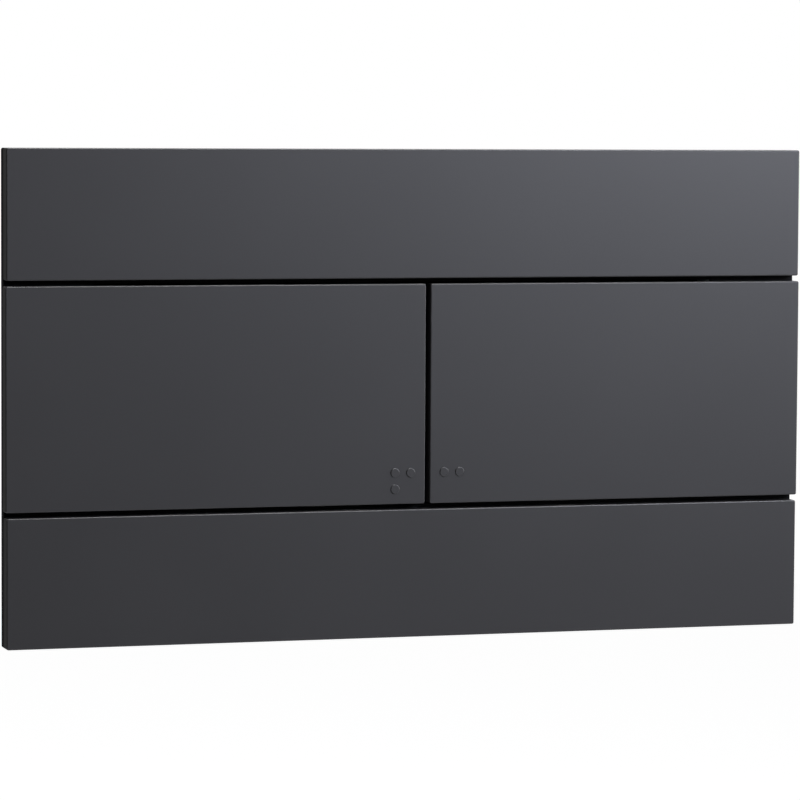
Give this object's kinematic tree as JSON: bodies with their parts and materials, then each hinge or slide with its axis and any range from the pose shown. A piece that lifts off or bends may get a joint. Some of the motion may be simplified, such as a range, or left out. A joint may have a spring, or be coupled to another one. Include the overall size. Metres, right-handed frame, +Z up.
{
  "type": "flush button plate",
  "caption": "Rectangular dark satin dual-flush plate for a concealed cistern: fixed panels above and below, a wide and a narrow hinged button between them, push rods behind",
  "frame": {"origin": "middle of the plate on the wall's surface, where the mounting frame's flange meets the wall", "axes": "+X to the right seen from the front, +Y into the wall, +Z up; the buttons face -Y"},
  "size_m": [0.2206, 0.0852, 0.13],
  "materials": {
    "anthracite_lacquer": "satin lacquer on moulded plastic",
    "black_plastic": "moulded black plastic, fine texture",
    "white_plastic": "natural white acetal",
    "grey_plastic": "moulded grey plastic",
    "steel": "zinc-plated steel",
    "spring_steel": "drawn stainless wire",
    "rubber": "black rubber"
  },
  "bodies": {
    "plate": {"bottom_panel": "anthracite_lacquer", "bottom_panel_screws": "steel", "carrier": "black_plastic", "left_buffers": "rubber", "left_fixing_nut": "grey_plastic", "left_fixing_rod": "steel", "left_guide_bush": "white_plastic", "left_hinge_pin": "steel", "left_return_spring": "spring_steel", "mounting_frame": "grey_plastic", "pin_clips": "steel", "right_buffers": "rubber", "right_fixing_nut": "grey_plastic", "right_fixing_rod": "steel", "right_guide_bush": "white_plastic", "right_hinge_pin": "steel", "right_return_spring": "spring_steel", "top_panel": "anthracite_lacquer", "top_panel_screws": "steel"},
    "left_key": {"left_button": "anthracite_lacquer", "left_button_screws": "steel", "left_lever": "black_plastic"},
    "right_key": {"right_button": "anthracite_lacquer", "right_button_screws": "steel", "right_lever": "black_plastic"},
    "left_plunger": {"left_lock_nut": "grey_plastic", "left_push_rod": "white_plastic", "left_rod_cap": "grey_plastic"},
    "right_plunger": {"right_lock_nut": "grey_plastic", "right_push_rod": "white_plastic", "right_rod_cap": "grey_plastic"}
  },
  "joints": [
    {"name": "left_press", "type": "hinge", "parent": "plate", "child": "left_key", "pos_m": [-0.09, 0.003, 0], "axis": [0, 0, 1], "range_deg": [0, 3.5], "stiffness_Nm_per_rad": 2.4, "springref_deg": -3.9},
    {"name": "left_plunge", "type": "slide", "parent": "plate", "child": "left_plunger", "axis": [0, 1, 0], "range_m": [0, 0.0034], "deforming": ["left_return_spring"]},
    {"name": "right_press", "type": "hinge", "parent": "plate", "child": "right_key", "pos_m": [0.09, 0.003, 0], "axis": [0, 0, -1], "range_deg": [0, 3.5], "stiffness_Nm_per_rad": 2.4, "springref_deg": -3.9},
    {"name": "right_plunge", "type": "slide", "parent": "plate", "child": "right_plunger", "axis": [0, 1, 0], "range_m": [0, 0.0034], "deforming": ["right_return_spring"]}
  ],
  "couplings": [
    {"joint": "left_plunge", "follows": "left_press", "m_per_rad": 0.055},
    {"joint": "right_plunge", "follows": "right_press", "m_per_rad": 0.055}
  ]
}
